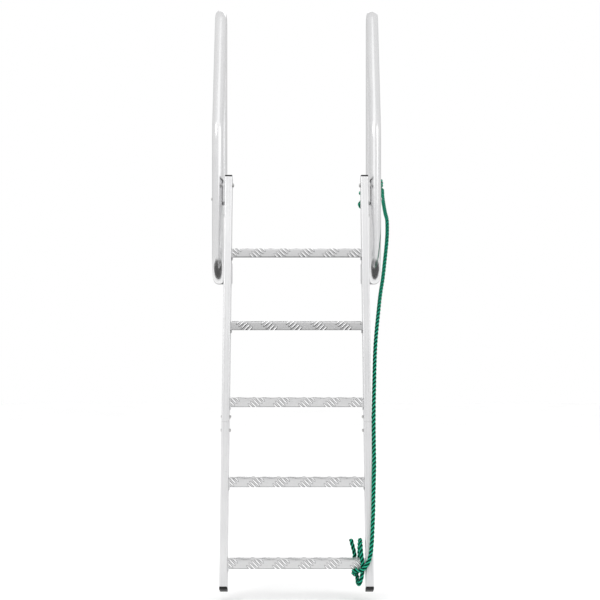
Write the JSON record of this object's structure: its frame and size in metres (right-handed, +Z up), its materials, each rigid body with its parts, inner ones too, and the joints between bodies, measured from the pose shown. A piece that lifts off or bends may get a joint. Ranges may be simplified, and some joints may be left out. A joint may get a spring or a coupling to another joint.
{
  "type": "boarding ladder",
  "caption": "Folding aluminium bathing ladder with bent tube handrails, checker-plate steps hung from pivot bolts, and a rope that pulls it up.",
  "frame": {"origin": "the jetty's top front edge, midway between the handrails: the deck is z = 0 and the jetty's front face is y = 0", "axes": "+X to the right as seen from the water, +Y from the water towards the jetty, +Z up"},
  "size_m": [0.6179, 0.7872, 1.9649],
  "materials": {
    "tube": "satin",
    "plate": "satin",
    "extrusion": "satin",
    "checker_plate": "mill, with raised bars",
    "stainless_steel": "bright",
    "black_plastic": "matte",
    "white_plastic": "matte",
    "rope": "three-strand twisted"
  },
  "bodies": {
    "handrails": {"handrail_left": "tube", "handrail_right": "tube", "dock_plate_left": "plate", "dock_plate_right": "plate", "foot_plate_left": "plate", "foot_plate_right": "plate", "hinge_plate_left": "plate", "hinge_plate_right": "plate", "pivot_bolt_left": "stainless_steel", "pivot_bolt_right": "stainless_steel", "pivot_washer_left": "stainless_steel", "pivot_washer_right": "stainless_steel", "pivot_nut_left": "stainless_steel", "pivot_nut_right": "stainless_steel", "stop_bolt_left": "stainless_steel", "stop_bolt_right": "stainless_steel", "stop_sleeve_left": "white_plastic", "stop_sleeve_right": "white_plastic", "stop_nut_left": "stainless_steel", "stop_nut_right": "stainless_steel", "rope_rail_hitch": "rope"},
    "ladder": {"pivot_bush_left": "white_plastic", "pivot_bush_right": "white_plastic", "upper_stile_left": "extrusion", "upper_stile_right": "extrusion", "lower_stile_left": "extrusion", "lower_stile_right": "extrusion", "splice_sleeve_left": "extrusion", "splice_sleeve_right": "extrusion", "splice_bolt_upper_left": "stainless_steel", "splice_bolt_upper_right": "stainless_steel", "splice_bolt_lower_left": "stainless_steel", "splice_bolt_lower_right": "stainless_steel", "splice_nut_upper_left": "stainless_steel", "splice_nut_upper_right": "stainless_steel", "splice_nut_lower_left": "stainless_steel", "splice_nut_lower_right": "stainless_steel", "top_cap_left": "black_plastic", "top_cap_right": "black_plastic", "bottom_cap_left": "black_plastic", "bottom_cap_right": "black_plastic", "step_1": "checker_plate", "step_2": "checker_plate", "step_3": "checker_plate", "step_4": "checker_plate", "step_5": "checker_plate", "step_bracket_1_left": "plate", "step_bracket_1_right": "plate", "step_bracket_2_left": "plate", "step_bracket_2_right": "plate", "step_bracket_3_left": "plate", "step_bracket_3_right": "plate", "step_bracket_4_left": "plate", "step_bracket_4_right": "plate", "step_bracket_5_left": "plate", "step_bracket_5_right": "plate", "rope_line": "rope", "rope_step_hitch": "rope"}
  },
  "joints": [
    {"name": "ladder_tilt", "type": "hinge", "parent": "handrails", "child": "ladder", "pos_m": [0, -0.136, 0.091], "axis": [-1, 0, 0], "range_deg": [0, 165], "deforming": ["rope_line"]}
  ]
}
